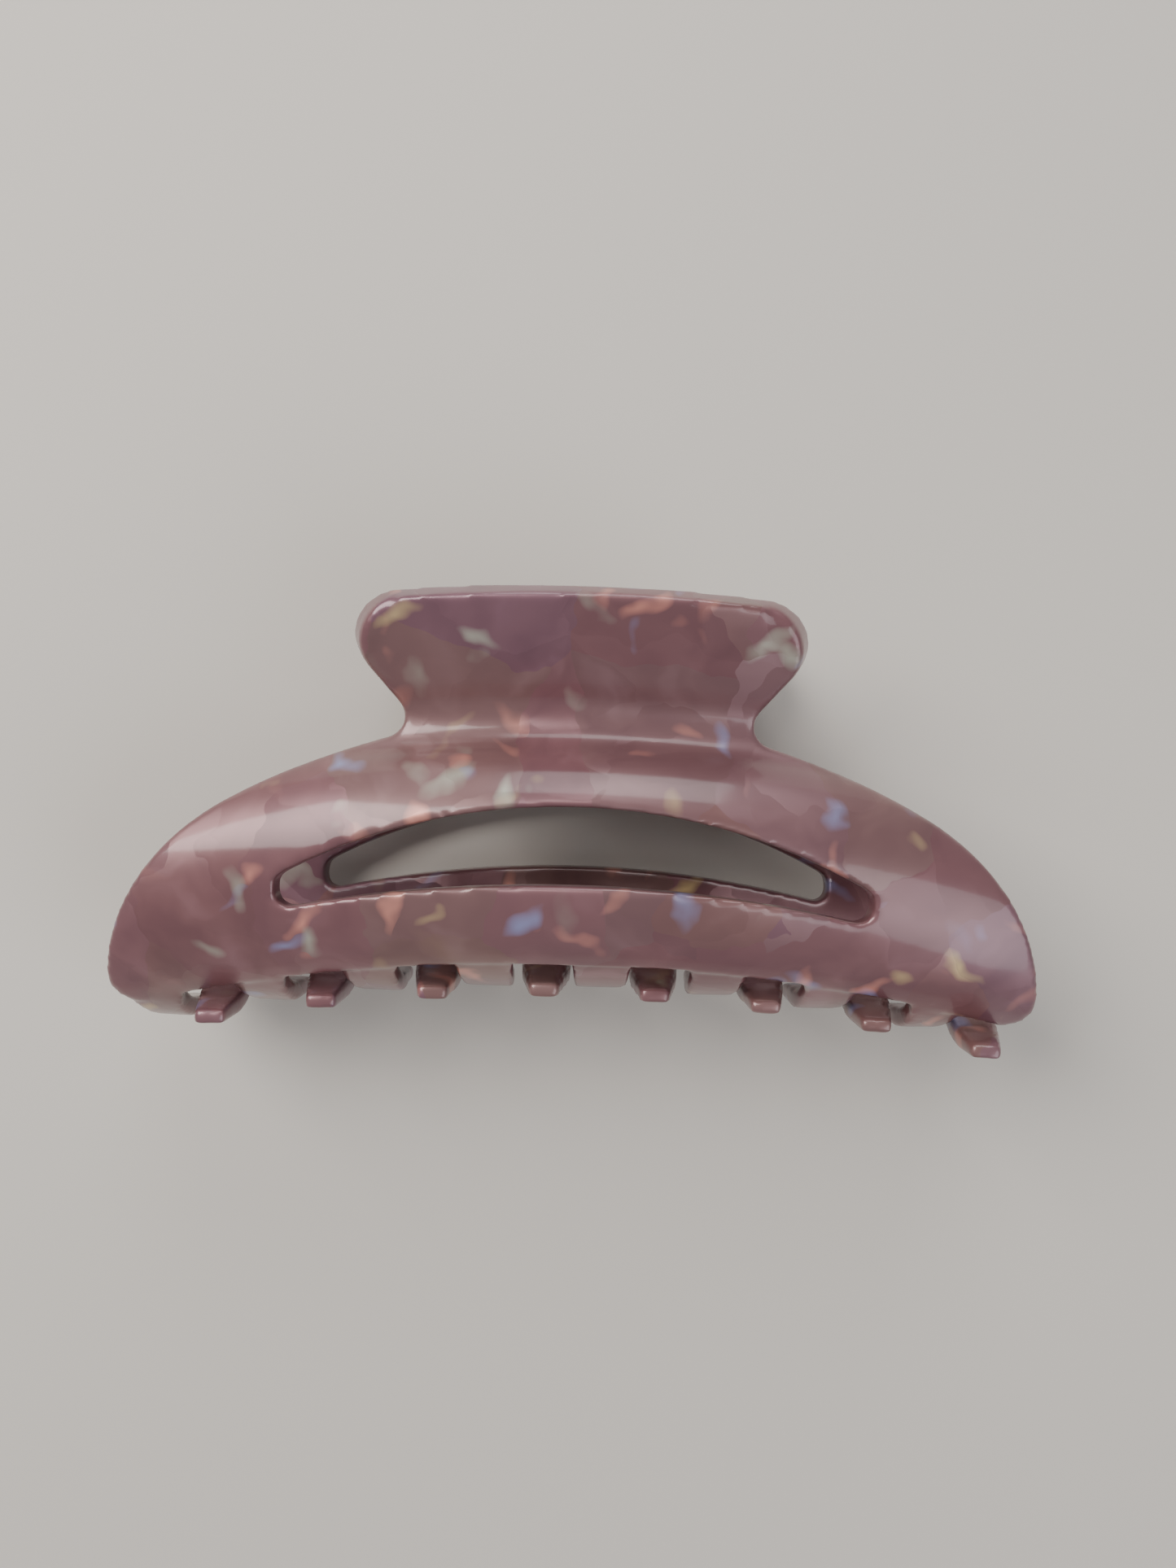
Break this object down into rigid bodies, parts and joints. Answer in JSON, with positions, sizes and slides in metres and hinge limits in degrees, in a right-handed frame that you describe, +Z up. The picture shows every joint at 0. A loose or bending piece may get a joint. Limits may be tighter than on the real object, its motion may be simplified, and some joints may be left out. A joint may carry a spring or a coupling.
{
  "type": "claw clip",
  "caption": "Large claw hair clip lying closed: curved toothed jaws with crescent windows, handle plates, a hinge pin and a torsion spring.",
  "frame": {"origin": "middle of the closed clip's bounding box, on the surface it lies on", "axes": "+X along the hinge and the length of the clip, +Y from the teeth to the handles, +Z up from the rear jaw to the front jaw"},
  "size_m": [0.1102, 0.0526, 0.0351],
  "materials": {
    "front_jaw": "gloss",
    "rear_jaw": "gloss",
    "hinge_pin": "satin",
    "torsion_spring": "satin"
  },
  "bodies": {
    "rear": {"rear_jaw": "rear_jaw", "hinge_pin": "hinge_pin", "torsion_spring": "torsion_spring"},
    "front": {"front_jaw": "front_jaw"}
  },
  "joints": [
    {"name": "jaw_hinge", "type": "hinge", "parent": "rear", "child": "front", "pos_m": [0, 0.01114, 0.01753], "axis": [-1, 0, 0], "range_deg": [0, 84], "stiffness_Nm_per_rad": 0.24, "springref_deg": -36.1, "deforming": ["torsion_spring"]}
  ]
}
